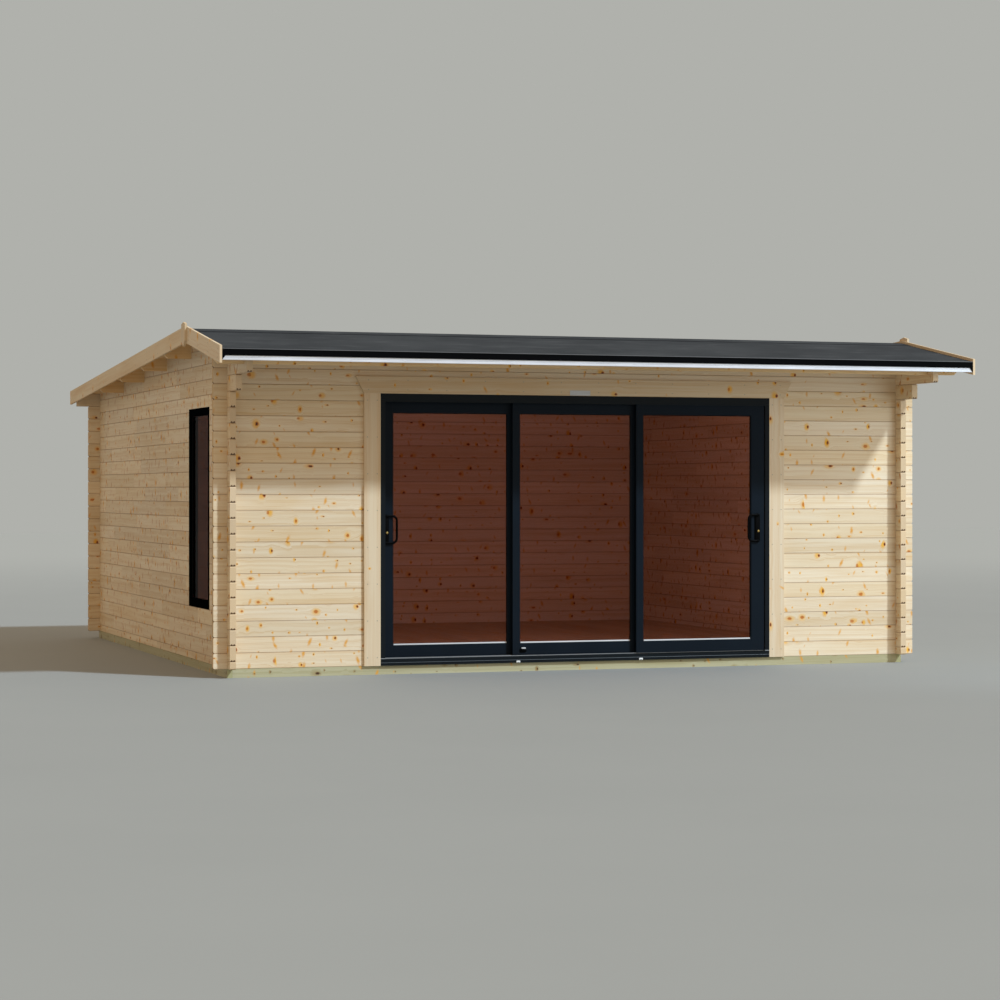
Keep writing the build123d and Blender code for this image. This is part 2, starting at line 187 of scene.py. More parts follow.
class Finish:
    # the nodes of one material, or of the world, under construction
    def __init__(self, owner, output="OutputMaterial"):
        self.owner = bpy.data.materials.new(owner) if isinstance(owner, str) else owner
        self.owner.use_nodes = True
        self.output = output
        self.tree = self.owner.node_tree
        self.tree.nodes.clear()

    def add(self, kind, settings=None, sockets=None, out=0):
        node = self.tree.nodes.new("ShaderNode" + kind)
        for name, value in (settings or {}).items():
            setattr(node, name, value)
        for name, value in (sockets or {}).items():
            if isinstance(value, Wire):
                self.tree.links.new(value.socket, node.inputs[name])
            elif value is not None:
                node.inputs[name].default_value = value
        return Wire(self, node, node.outputs[out])

    def where(self, output="Object"):
        return self.add("TexCoord", out=output)

    def split(self, wire):
        parts = self.add("SeparateXYZ", sockets={0: wire})
        return [parts.out(axis) for axis in "XYZ"]

    def join(self, x, y, z=0.0):
        return self.add("CombineXYZ", sockets={0: x, 1: y, 2: z})

    def blend(self, factor, first, second, kind="MIX"):
        settings = {"data_type": "RGBA", "blend_type": kind}
        return self.add("Mix", settings, {0: factor, 6: first, 7: second}, 2)

    def pick(self, factor, first, second):
        return self.add("Mix", {"data_type": "FLOAT"}, {0: factor, 2: first, 3: second})

    def noise(self, place, scale=1.0, detail=3.0, roughness=0.55):
        sockets = {"Vector": place, "Scale": scale, "Detail": detail, "Roughness": roughness}
        return self.add("TexNoise", sockets=sockets)

    def dice(self, x, y):
        rolled = self.add("TexWhiteNoise", {"noise_dimensions": "2D"}, {"Vector": self.join(x, y)})
        return rolled, self.split(rolled.out("Color"))[1]

    def bump(self, height, distance, strength=1.0):
        return self.add("Bump", sockets={"Height": height, "Distance": distance, "Strength": strength})

    def surface(self, colour, rough, bump=None, gloss=None, metal=None):
        sockets = {"Base Color": colour, "Roughness": rough, "Normal": bump, "Metallic": metal}
        return self.add("BsdfPrincipled", sockets={**sockets, "Specular IOR Level": gloss})

    def done(self, shader):
        output = self.tree.nodes.new("ShaderNode" + self.output)
        self.tree.links.new(shader.socket, output.inputs["Surface"])
        return self.owner


# pine


pineSettings = {
    "pale": linear(232, 214, 183),
    "warm": linear(218, 188, 142),
    "line": linear(196, 150, 98),
    "smear": linear(222, 150, 4),
    "halo": linear(236, 172, 14),
    "knot": linear(186, 94, 0),
    "heart": linear(60, 22, 2),
    "end": linear(224, 200, 164),
    "endLine": linear(186, 144, 94),
    "seam": linear(132, 78, 30),
    "joint": linear(78, 42, 18),
    "knotCell": 0.105,  # one round knot at most in each square of this side
    "spikeCell": 0.13,  # the same for the long smears
    "knotFrom": 0.42,  # share of squares with no knot
    "spikeFrom": 0.62,
    "bigFrom": 0.74,  # chance above which a round knot is a big one
    "smallest": 0.0032,  # radius of a round knot
    "wander": 0.05,  # how far the grain strays
    "ringGap": 0.011,  # from one stripe to the next, on a face
    "endRingGap": 0.0034,  # the same on the end grain
    "roughness": 0.62,
    "endRoughness": 0.8,
    "relief": 0.0006,
}


def knotField(f, along, up, seed, cell, randomness):
    # offsets from the nearest of the points strewn one to a cell, and that cell's three random numbers
    across = along / cell + seed * 91.7
    height = up / cell + seed * 37.3
    sockets = {"Vector": f.join(across, height), "Scale": 1.0, "Randomness": randomness}
    points = f.add("TexVoronoi", {"voronoi_dimensions": "2D"}, sockets)
    centre = f.split(points.out("Position"))
    return (across - centre[0]) * cell, (height - centre[1]) * cell, f.split(points.out("Color"))


def pineFace(f, along, up, seed, look):
    # grain that runs along the board, parts round its knots and fades between pale and warm stripes
    besideX, besideUp, (chance, kind, shape) = knotField(f, along, up, seed, look["knotCell"], 0.95)
    present = chance > look["knotFrom"]
    swell = (chance - look["knotFrom"]) * 0.006 + (chance - look["bigFrom"]).most(0.0) * 0.034
    size = look["smallest"] + swell
    stretch = shape * 0.7 + 0.65
    distance = (besideX * stretch).length(besideUp / stretch)
    pull = size * size * 5.0 / (distance * distance + size * size * 2.0) * present
    flow = up - besideUp * pull.least(1.0)

    wander = f.noise(f.join(along * 0.9 + seed * 13.0, up * 5.0, seed * 7.0), 1.0, 2.0)
    bend = flow + (wander - 0.5) * look["wander"]
    broad = f.noise(f.join(along * 0.55 + seed * 5.0, bend * 38.0, seed * 3.0), 1.0, 3.0, 0.6)
    fine = f.noise(f.join(along * 2.4, bend * 260.0, seed * 11.0), 1.0, 3.0, 0.6)
    rings = (bend * 2 * math.pi / look["ringGap"] + (broad - 0.5) * 9.0).sine() * 0.5 + 0.5
    stripes = (rings ** 3.0) * broad.ease(0.35, 0.7)
    patch = f.noise(f.join(along * 1.6 + seed * 29.0, up * 9.0, seed * 17.0), 1.0, 2.0)
    warmth = broad.ease(0.34, 0.72) * 0.5 + patch.ease(0.45, 0.75) * 0.35
    colour = f.blend(warmth, look["pale"], look["warm"])
    colour = f.blend(stripes * 0.4 + fine.ease(0.5, 0.8) * 0.14, colour, look["line"])

    # spike knots: soft smears that stand across the board
    ragged = f.noise(f.join(along * 120.0, up * 70.0, seed), 1.0, 2.0)
    spikeX, spikeUp, (spikeChance, spikeKind, spikeShape) = knotField(
        f, along, up * 1.4, seed + 0.37, look["spikeCell"], 1.0
    )
    lean = spikeX + spikeUp * (spikeKind - 0.5) * 0.8
    wide = spikeShape * 0.007 + 0.004
    spikeDistance = (lean / wide).length(spikeUp / (wide * 3.2)) + (ragged - 0.5) * 1.3
    spike = spikeDistance.within(0.2, 1.7) * (spikeChance > look["spikeFrom"])
    colour = f.blend(spike * (spikeShape * 0.4 + 0.5), colour, look["smear"])

    # round knots: a halo drawn out to one side, the knot, and a dark heart in most small ones
    reach = distance + (ragged - 0.5) * size * 0.8
    sideX = besideX + (kind - 0.5) * size * 3.0
    sideReach = (sideX * stretch).length(besideUp / stretch) + (ragged - 0.5) * size
    halo = sideReach.within(size * 0.6, size * 3.0 + 0.001) * present
    body = reach.within(size * 0.6, size * 1.25) * present
    heart = reach.within(size * 0.25, size * 0.85) * present
    dark = (kind + (size < 0.005) * 0.25) > 0.62
    colour = f.blend(halo * (0.45 + shape * 0.5), colour, look["halo"])
    colour = f.blend(body * (0.7 + kind * 0.3), colour, look["knot"])
    colour = f.blend(heart * dark * 0.95, colour, look["heart"])

    height = fine * 0.35 + rings * 0.25 - body * 0.8
    rough = look["roughness"] + (fine - 0.5) * 0.16 - body * 0.18
    return colour, rough, height


def pineEnd(f, across, up, seed, look):
    # end grain: growth rings round a pith that lies off the board, and fine pores
    offAcross = across - (seed - 0.5) * 0.03
    offUp = up + 0.03 + seed * 0.05
    wobble = f.noise(f.join(across * 18.0, up * 18.0, seed * 9.0), 1.0, 2.0)
    radius = offAcross.length(offUp) + (wobble - 0.5) * 0.004
    rings = (radius * 2 * math.pi / look["endRingGap"]).sine() * 0.5 + 0.5
    pores = f.noise(f.join(across * 900.0, up * 900.0, seed), 1.0, 2.0)
    colour = f.blend((rings ** 2.0) * 0.45 + pores.ease(0.5, 0.8) * 0.2, look["end"], look["endLine"])
    return colour, rings * 0.4 + pores * 0.4


def wood(f, face, end, isEnd, seed, second, look):
    # face and end hold colour, roughness and height; each board is a little lighter or darker, and a
    # little more yellow or pink, than its neighbours
    light = seed.ease(0.0, 1.0, 0.93, 1.04)
    warmth = second.ease(0.0, 1.0, 0.93, 1.05)
    tint = f.join(light, light * (warmth * 0.3 + 0.7), light * warmth)
    colour, rough, height = face
    if end:
        colour = f.blend(isEnd, colour, end[0])
        rough = f.pick(isEnd, rough, end[1])
        height = f.pick(isEnd, height, end[2])
    colour = f.blend(1.0, colour, tint, "MULTIPLY")
    return f.done(f.surface(colour, rough, f.bump(height, look["relief"], 0.6)))


jointSettings = {
    # each pair: how far from its middle a mark is whole, and where it has faded away
    "seam": (0.0006, 0.0022),  # the joint between two logs, on a face
    "stain": (0.001, 0.007),  # warmer wood beside it
    "splice": (0.0008, 0.0024),  # where two lengths of a log meet
    "endSeam": (0.001, 0.003),
    "slotAt": 0.0095,  # two dark slots over each joint on the end grain
    "slotWide": (0.0045, 0.006),
    "slotHigh": (0.011, 0.013),
    "bridgeWide": (0.015, 0.017),  # what joins them
    "bridgeHigh": (0.004, 0.006),
    "slotDepth": 3.0,
}


def logFinish(name, grain, raised, look, joint, spliceEvery=None):
    # logs along X or Y, their joints raised by a share of a course; long ones are spliced end to end
    f = Finish(name)
    x, y, z = f.split(f.where())
    facing = f.split(f.where("Normal"))
    if grain == 0:
        along, across, side = x, y - f.pick(y > 0.0, frontMiddle, rearMiddle), y > 0.0
    else:
        along, across, side = y, abs(x) - sideMiddle, x > 0.0
    level = (z - wallBase) / logPitch + raised
    row = level.floor() + grain * 40.0
    splice = None
    if spliceEvery:
        length = along / spliceEvery + f.dice(row, side * 5.0)[0] * 7.0
        splice = (0.5 - abs(length.wrap() - 0.5)) * spliceEvery
        row = row + length.floor() * 61.0
    seed, second = f.dice(row, side * 3.0)
    local = (level.wrap() - 0.5) * logPitch
    faceColour, faceRough, faceHeight = pineFace(f, along, local, seed, look)
    endColour, endHeight = pineEnd(f, across, local, seed, look)
    isEnd = abs(facing[grain]) > 0.6
    # tongue and groove: a fine line on the face, and two dark slots over each joint on the end grain
    toJoint = logPitch / 2 - abs(local)
    seam = toJoint.within(*joint["seam"])
    aboveJoint = local + logPitch / 2
    slot = abs(abs(across) - joint["slotAt"]).within(*joint["slotWide"])
    slot = slot * aboveJoint.within(*joint["slotHigh"])
    bridge = abs(across).within(*joint["bridgeWide"]) * aboveJoint.within(*joint["bridgeHigh"])
    slot = slot.most(bridge).most(toJoint.within(*joint["endSeam"]) * 0.6)
    endColour = f.blend(slot * 0.85, endColour, look["joint"])
    if splice:
        seam = seam.most(splice.within(*joint["splice"]) * 0.7)
    stain = toJoint.within(*joint["stain"])
    faceColour = f.blend(stain * 0.25 + seam * 0.15, faceColour, look["seam"])
    end = (endColour, look["endRoughness"], endHeight - slot * joint["slotDepth"])
    return wood(f, (faceColour, faceRough, faceHeight), end, isEnd, seed, second, look)


# the end grain of the logs across is darker and more saturated than the deep logs' ends: painted shade on
# these ends, which face the sides
shadedEndsSettings = dict(pineSettings, end=linear(215, 184, 140), endLine=linear(178, 132, 80))
sideSettings = dict(pineSettings, spikeFrom=0.36, spikeCell=0.12, smear=linear(186, 112, 10))
logsAcross = logFinish("logs across", 0, 0.0, shadedEndsSettings, jointSettings)
logsDeep = logFinish("logs deep", 1, 0.5, sideSettings, jointSettings, spliceEvery=1.35)


def boardFinish(name, grain, width, look, sloped=False, depth=2):
    # boards along `grain` (0, 1 or 2 for X, Y or Z), each `width` wide, side by side along `depth`
    f = Finish(name)
    place = f.split(f.where())
    facing = f.split(f.where("Normal"))
    along = place[grain]
    beside = place[depth]
    if sloped:
        slope = f.pick(place[1] > ridgeY, frontSlope, rearSlope)
        beside = place[2] + slope * abs(place[1] - ridgeY)
    level = beside / width
    seed, second = f.dice(level.floor(), (place[0] > 0.0) * 2.0 + (place[1] > ridgeY))
    local = (level.wrap() - 0.5) * width
    face = pineFace(f, along, local, seed, look)
    endColour, endHeight = pineEnd(f, place[3 - grain - depth], local, seed, look)
    isEnd = abs(facing[grain]) > 0.8
    return wood(f, face, (endColour, look["endRoughness"], endHeight), isEnd, seed, second, look)


def trimFinish(name, look, headFrom):
    # upright boards with a level board above `headFrom`
    f = Finish(name)
    x, y, z = f.split(f.where())
    isHead = z > headFrom
    along = f.pick(isHead, z, x)
    beside = f.pick(isHead, x + y, z + y)
    seed, second = f.dice((x > 0.0) * (1.0 - isHead), isHead)
    return wood(f, pineFace(f, along, beside, seed, look), None, None, seed, second, look)


wholeWidth = 2.0  # wider than any one board, so that a finish draws it as a single board
floorWidth = 0.108
roofWidth = 0.088
trimSettings = dict(pineSettings, knotFrom=0.78, spikeFrom=0.92, knotCell=0.13,
                    pale=linear(220, 200, 168), warm=linear(208, 176, 131))
beamSettings = dict(pineSettings, pale=linear(236, 207, 160), warm=linear(222, 181, 122))
floorSettings = dict(pineSettings, pale=linear(206, 188, 158), warm=linear(190, 164, 124))
beamPine = boardFinish("beam pine", 0, wholeWidth, beamSettings)
gablePine = boardFinish("gable board pine", 1, wholeWidth, trimSettings, sloped=True)
roofPine = boardFinish("roof board pine", 1, roofWidth, beamSettings, depth=0)
floorPine = boardFinish("floor board pine", 1, floorWidth, floorSettings, depth=0)
finialPine = boardFinish("finial pine", 2, wholeWidth, trimSettings, depth=1)
trimPine = trimFinish("door trim pine", trimSettings, frameHigh.z)
print("pine ready")


# treated bearers

treatedSettings = dict(
    pineSettings,
    pale=linear(184, 178, 143),
    warm=linear(167, 156, 113),
    line=linear(142, 136, 92),
    halo=linear(150, 120, 66),
    knot=linear(110, 84, 44),
    end=linear(176, 172, 128),
    endLine=linear(132, 124, 80),
)
treatedAcross = boardFinish("treated timber across", 0, wholeWidth, treatedSettings)
treatedDeep = boardFinish("treated timber deep", 1, wholeWidth, treatedSettings)


# roof covering


feltSettings = {
    "base": linear(58, 60, 62),
    "light": linear(84, 85, 86),
    "dark": linear(42, 44, 47),
    "edge": linear(9, 9, 10),
    "roughness": 0.7,
    "gloss": 0.15,
    "relief": 0.0008,
}


def feltFinish(name, look):
    # smooth sheet with cloudy marbling; the strip turned down over the eave is plain black
    f = Finish(name)
    place = f.where()
    facing = f.split(f.where("Normal"))
    x, y, z = f.split(place)
    cloud = f.noise(place, 1.7, 5.0, 0.6)
    wisp = f.noise(f.join(x * 3.0, y * 9.0, z * 9.0), 1.0, 5.0, 0.6)
    grit = f.noise(place, 420.0, 2.0)
    colour = f.blend(cloud.ease(0.35, 0.7), look["dark"], look["base"])
    colour = f.blend(wisp.ease(0.5, 0.75) * 0.5, colour, look["light"])
    colour = f.blend(abs(facing[1]) > 0.7, colour, look["edge"])
    rough = look["roughness"] + (cloud - 0.5) * 0.2
    bump = f.bump(grit + wisp * 0.6, look["relief"], 0.5)
    return f.done(f.surface(colour, rough, bump, look["gloss"]))


felt = feltFinish("roofing sheet", feltSettings)


def coatedFinish(name, colour, roughness, gloss=0.35, grit=700.0, depth=0.00012, rails=None):
    # powder coat or moulded plastic with fine orange peel; `rails` gives a pale, partly metallic band at the
    # height of the track's rail tops
    f = Finish(name)
    place = f.where()
    cloud = f.noise(place, 3.0, 3.0)
    peel = f.noise(place, grit, 2.0)
    shade = f.blend(cloud.ease(0.35, 0.75) * 0.6, colour, scaled(colour, 1.25))
    rough = roughness + (peel - 0.5) * 0.05
    bandMetal = None
    if rails:
        z = f.split(place)[2]
        rail = (z > frameLow.z + rails["foot"]) * (z < frameLow.z + rails["top"])
        shade = f.blend(rail, shade, rails["colour"])
        rough = rough - rail * 0.1
        bandMetal = rail * 0.6
    else:
        rough = rough + (cloud - 0.5) * 0.06
    return f.done(f.surface(shade, rough, f.bump(peel, depth, 0.5), gloss, bandMetal))


# pale band at the tops of the rails, measured from the foot of the door frame
railSettings = {"colour": linear(176, 178, 180), "foot": 0.049, "top": 0.054}


eaveMetal = coatedFinish("eave metal", linear(218, 219, 222), 0.38)
windowCoat = coatedFinish("window coat", linear(4, 6, 8), 0.8, 0.0)
panelCoat = coatedFinish("panel coat", linear(13, 22, 30), 0.45, 0.12)
handleCoat = coatedFinish("handle coat", linear(2, 2, 2), 0.5, 0.06)
# black: rubber for the gaskets, and painted shade in the keyhole and in the slots of the drain caps
rubberAndHoleShade = coatedFinish("seal rubber", linear(12, 12, 12), 0.7, 0.15)
# pale grey: a painted highlight, on the sill beads of the door panes and on the cap of the bolt
highlightGrey = coatedFinish("bead grey", linear(186, 186, 184), 0.45)
capPlastic = coatedFinish("cap plastic", linear(226, 226, 222), 0.5)
noseCoat = coatedFinish("nose coat", linear(70, 76, 80), 0.35, 0.4)
# paler than any of the covering: a painted highlight along the fold at each eave
foldHighlight = coatedFinish("covering fold", linear(96, 96, 96), 0.6, 0.3)
feltEdge = coatedFinish("covering edge", linear(7, 7, 8), 0.8, 0.04, 300.0, 0.0005)
trackCoat = coatedFinish("track coat", linear(9, 16, 20), 0.42, 0.2, rails=railSettings)


def brushedFinish(name, colour, metal=0.85):
    # bare sheet, brushed along X
    f = Finish(name)
    x, y, z = f.split(f.where())
    brush = f.noise(f.join(x * 9.0, y * 400.0, z * 900.0), 1.0, 3.0)
    shade = f.blend(brush.ease(0.35, 0.7) * 0.5, colour, scaled(colour, 0.7))
    bump = f.bump(brush, 0.00008, 0.5)
    return f.done(f.surface(shade, 0.3 + brush * 0.2, bump, metal=metal))


plateMetal = brushedFinish("plate metal", linear(206, 207, 208))
brassMetal = brushedFinish("brass", linear(202, 168, 96))
screwMetal = brushedFinish("screw zinc", linear(170, 166, 150))


glassSettings = {
    "clear": (0.62, 0.49, 0.52, 1.0),  # light that each face of a pane lets through
    "body": linear(46, 12, 10),
    "least": 0.05,  # share of sheen seen straight on
    "most": 0.22,  # the same along the pane
}


def glassFinish(name, look):
    # tinted pane: see-through red brown, with a sheen that grows towards a glancing view
    f = Finish(name)
    x, y, z = f.split(f.where())
    bands = f.noise(f.join(x * 1.5, y * 1.5, z * 0.6), 1.0, 2.0)
    clear = f.add("BsdfTransparent", sockets={"Color": look["clear"]})
    tint = f.blend(bands, look["body"], scaled(look["body"], 0.6))
    sheen = f.surface(tint, 0.04 + bands * 0.03)
    facing = f.add("LayerWeight", sockets={"Blend": 0.5}, out="Facing")
    share = look["least"] + facing ** 3.0 * (look["most"] - look["least"])
    return f.done(f.add("MixShader", sockets={0: share, 1: clear, 2: sheen}))


tintedGlass = glassFinish("tinted glass", glassSettings)
windowGlass = glassFinish("window glass", dict(glassSettings, clear=(0.37, 0.29, 0.29, 1.0), most=0.12))
print("finishes ready")


# finishes for the CAD pieces

finishOf = {
    logsAcross: ("front_wall_*", "rear_wall"),
    logsDeep: ("left_wall", "right_wall"),
    beamPine: ("ridge_purlin", "rear_purlins", "eave_purlin"),
    gablePine: ("barge_*",),
    finialPine: ("finial_*",),
    trimPine: ("door_trim", "door_lining"),
    roofPine: ("roof_boards_*",),
    floorPine: ("floor",),
    treatedAcross: ("bearer_front", "bearer_rear", "floor_joists"),
    treatedDeep: ("bearer_left", "bearer_right"),
    felt: ("felt_*",),
    eaveMetal: ("eave_strip_*",),
    trackCoat: ("door_frame",),
    windowCoat: ("window_frame",),
    panelCoat: ("panel_*_frame",),
    tintedGlass: ("panel_*_glass",),
    windowGlass: ("window_glass",),
    handleCoat: ("panel_*_handle", "panel_middle_bolt"),
    plateMetal: ("door_plate",),
    capPlastic: ("drain_caps",),
}
for finish, patterns in finishOf.items():
    for name in [name for pattern in patterns for name in fnmatch.filter(nodes, pattern)]:
        mesh = nodes[name].data
        mesh.materials.clear()
        mesh.materials.append(finish)
print("CAD pieces finished")


# making pieces from arrays of points


def gridFaces(rows, columns, closed=False):
    # quads between neighbours in rows of points; each row is a loop, and closed joins last to first
    row, column = np.meshgrid(np.arange(rows if closed else rows - 1), np.arange(columns), indexing="ij")
    nextRow, nextColumn = (row + 1) % rows, (column + 1) % columns
    corners = (row * columns + column, row * columns + nextColumn,
               nextRow * columns + nextColumn, nextRow * columns + column)
    return np.stack(corners, axis=-1).reshape(-1, 4)


def makePiece(name, points, faces, finish, body, slotName, replaced=(), smooth=None):
    # faces is a list of arrays of corner numbers; smooth is the sharpest angle left smooth, in degrees
    mesh = bpy.data.meshes.new(name + "Mesh")
    corners = np.asarray(points, float).reshape(-1, 3).tolist()
    mesh.from_pydata(corners, [], [face for block in faces for face in block.tolist()])
    shape = bmesh.new()
    shape.from_mesh(mesh)
    bmesh.ops.remove_doubles(shape, verts=shape.verts, dist=0.000001)
    bmesh.ops.recalc_face_normals(shape, faces=shape.faces)
    shape.to_mesh(mesh)
    shape.free()
    if smooth is not None:
        mesh.polygons.foreach_set("use_smooth", np.ones(len(mesh.polygons), bool))
        mesh.set_sharp_from_angle(angle=math.radians(smooth))
    mesh.materials.append(finish)
    piece = addObject(name, mesh)
    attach(piece, body)
    if replaced:
        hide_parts(*replaced)


def spots(x, y, z):
    # points from three coordinates, each a row of numbers or a single one
    return np.column_stack(np.broadcast_arrays(x, y, z))


def capped(loops):
    # closed loops of points one behind another, with a flat face at each end
    count = len(loops[0])
    ends = np.arange(count)[None, :]
    sheet = gridFaces(len(loops), count)
    return np.vstack(loops), [sheet, ends, ends + (len(loops) - 1) * count]


def bar(outline, start, end):
    # a closed outline of (y, z) points carried straight along X
    y, z = np.asarray(outline, float).T
    return capped([spots(x, y, z) for x in (start, end)])


def joined(parts):
    # several (points, faces) shapes as one
    points, faces, offset = [], [], 0
    for partPoints, partFaces in parts:
        points.append(partPoints)
        faces += [block + offset for block in partFaces]
        offset += len(partPoints)
    return np.vstack(points), faces


# grooved boards: the floor and the roof deck


boardSettings = {
    "groove": 0.0025,  # half width and depth of the V between two boards
    "gap": 0.0003,  # left between the floor's slabs, and round the door frame
    "deckThick": 0.019,
}


def groovedSlab(x0, x1, width, groove, ends, thickness, upward):
    # boards side by side along X with a V between them, above or below a slab;
    # `ends` holds the slab's (y, top z) at its two ends
    first, last = math.ceil((x0 + 2 * groove) / width), math.floor((x1 - 2 * groove) / width)
    seams = np.arange(first, last + 1) * width
    chain = np.concatenate([[x0], np.column_stack([seams - groove, seams, seams + groove]).ravel(), [x1]])
    dip = np.concatenate([[0.0], np.tile([0.0, groove, 0.0], len(seams)), [0.0]])
    columns = len(chain)
    rows = []
    for y, top in ends:
        lower = top - thickness + dip * (not upward)
        rows += [spots(chain, y, top - dip * upward), spots(chain, y, lower)[::-1]]
    strip = np.arange(columns - 1)
    closing = np.stack([strip, strip + 1, 2 * columns - 2 - strip, 2 * columns - 1 - strip], axis=-1)
    return np.vstack(rows), [gridFaces(2, 2 * columns), closing, closing + 2 * columns]


def makeFloor(look):
    low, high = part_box("floor")
    gap = look["gap"]
    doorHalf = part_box("door_lining")[1].x + gap
    doorBack = frameHigh.y + gap
    thickness = high.z - low.z
    parts = [
        groovedSlab(x0, x1, floorWidth, look["groove"], ((y0, high.z), (high.y, high.z)), thickness, True)
        for x0, x1, y0 in ((low.x, -doorHalf - gap, low.y), (-doorHalf, doorHalf, doorBack),
                           (doorHalf + gap, high.x, low.y))
    ]
    makePiece("floor_boards", *joined(parts), floorPine, "cabin", "floor_boards", ["floor"])


def makeRoofDeck(look):
    for side in ("front", "rear"):
        low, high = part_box("roof_boards_" + side)
        thickness = look["deckThick"]
        tops = (low.z + thickness, high.z) if side == "front" else (high.z, low.z + thickness)
        ends = tuple(zip((low.y, high.y), tops))
        slab = groovedSlab(low.x, high.x, roofWidth, look["groove"], ends, thickness, False)
        makePiece("roof_deck_" + side, *slab, roofPine, "cabin", "roof_boards", ["roof_boards_" + side])


makeFloor(boardSettings)
makeRoofDeck(boardSettings)
print("boards ready")


# eave strip, with a shadow line and a hemmed foot


stripSettings = {
    "topGap": 0.004,  # under the covering
    "lineAt": 0.0155,
    "lineDepth": 0.0025,
    "lineHeight": 0.004,
    "lineBevel": 0.0012,
    "hem": 0.002,
}


def makeEaveStrip(side, look):
    low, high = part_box("eave_strip_" + side)
    outer, inner, outward = (low.y, high.y, -1) if side == "front" else (high.y, low.y, 1)
    depth, hem, bevel = look["lineDepth"], look["hem"], look["lineBevel"]
    line, top = low.z + look["lineAt"], high.z - look["topGap"]
    lineTop = line + look["lineHeight"]
    faceShape = [
        (0.0, top), (0.0, lineTop), (depth, lineTop - bevel), (depth, line), (0.0, line - bevel),
        (0.0, low.z + hem), (hem * 0.3, low.z + hem * 0.3), (hem, low.z),
    ]
    outline = [(outer - outward * inset, z) for inset, z in faceShape]
    outline += [(inner, low.z), (inner, top)]
    strip = bar(outline, low.x, high.x)
    makePiece("eave_trim_" + side, *strip, eaveMetal, "cabin", "eave_metal", ["eave_strip_" + side])


for side in ("front", "rear"):
    makeEaveStrip(side, stripSettings)
print("eave strips ready")


# beads and gaskets round the panes


paneSettings = {
    "hold": 0.010,  # how far a pane reaches into its frame
    "beadWide": 0.0072,
    "gasketWide": 0.0022,
    # on the door panes this pale bar is a painted highlight along the foot of the pane
    "sillBeadHigh": 0.010,  # pale bar along the foot of each pane
    "sillBeadDeep": 0.0065,
    "sillBeadBack": 0.0008,
    "sillBeadEnd": 0.001,
    "rim": 0.0004,
}


def ringPoints(outline, x0, x1, z0, z1):
    # an outline of (inset, y) points carried round a rectangle; each corner is a mitre
    inset, depth = np.asarray(outline, float).T
    corners = ((x0, z0, 1, 1), (x1, z0, -1, 1), (x1, z1, -1, -1), (x0, z1, 1, -1))
    rings = [spots(x + inset * toX, depth, z + inset * toZ) for x, z, toX, toZ in corners]
    return np.vstack(rings), [gridFaces(4, len(inset), closed=True)]


def paneRings(opening, face, glass, look):
    # y = face + share * (glass - face): a sloped bead down to the pane, and the gasket at its foot
    wide, lip, rim = look["beadWide"], look["gasketWide"], look["rim"]
    bead = np.array([(rim, 0.12), (wide * 0.4, 0.16), (wide, 0.66), (wide, 0.97), (rim, 0.97)])
    far = wide + lip
    gasket = np.array([(wide, 0.99), (wide, 0.84), (wide + lip * 0.6, 0.84), (far, 0.93), (far, 0.99)])
    for outline in (bead, gasket):
        outline[:, 1] = face + outline[:, 1] * (glass - face)
    return ringPoints(bead, *opening), ringPoints(gasket, *opening)


def sillBead(opening, glass, look):
    # (y, z) = (back - deep * cos t, foot + high * sin t), a quarter round along the foot of a pane
    x0, x1, z0 = opening[:3]
    inset = look["beadWide"] + look["gasketWide"] + look["sillBeadEnd"]
    turn = np.linspace(0.0, math.pi / 2, 7)
    back, foot = glass - look["sillBeadBack"], z0 + look["beadWide"]
    arc = np.column_stack([
        back - look["sillBeadDeep"] * np.cos(turn), foot + look["sillBeadHigh"] * np.sin(turn)
    ])
    return bar(np.vstack([[(back, foot)], arc]), x0 + inset, x1 - inset)


def turnedLeft(points):
    # stands what was drawn facing the front so that it faces left in the side wall
    return spots(sideLow.x + points[:, 1], -points[:, 0], points[:, 2])


def dressPane(name, body, opening, frameDepths, glass, coat, footFinish, look, turn=None):
    # frameDepths and glass are the y of the front and back of the frame and of the pane
    front, back = (paneRings(opening, face, pane, look) for face, pane in zip(frameDepths, glass))
    shapes = {
        "bead": (joined([front[0], back[0]]), coat),
        "gasket": (joined([front[1], back[1]]), rubberAndHoleShade),
        # on the door panes the sill bead's pale grey is a painted highlight along the foot of the pane
        "sill_bead": (sillBead(opening, glass[0], look), footFinish),
    }
    for kind, ((points, faces), finish) in shapes.items():
        placed = turn(points) if turn else points
        makePiece(name + "_" + kind, placed, faces, finish, body, "black_aluminium", smooth=35)


hold = paneSettings["hold"]
for side in ("left", "middle", "right"):
    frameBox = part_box("panel_" + side + "_frame")
    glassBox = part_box("panel_" + side + "_glass")
    opening = (glassBox[0].x + hold, glassBox[1].x - hold, glassBox[0].z + hold, glassBox[1].z - hold)
    dressPane("panel_" + side, "panel_" + side, opening, (frameBox[0].y, frameBox[1].y),
              (glassBox[0].y, glassBox[1].y), panelCoat, highlightGrey, paneSettings)

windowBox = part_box("window_frame")
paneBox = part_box("window_glass")
opening = (-paneBox[1].y + hold, -paneBox[0].y - hold, paneBox[0].z + hold, paneBox[1].z - hold)
windowFaces = (windowBox[0].x - sideLow.x, windowBox[1].x - sideLow.x)
paneFaces = (paneBox[0].x - sideLow.x, paneBox[1].x - sideLow.x)
dressPane("window", "cabin", opening, windowFaces, paneFaces, windowCoat, windowCoat, paneSettings,
          turnedLeft)
print("panes dressed")


# pull handles, bolt and the other small castings


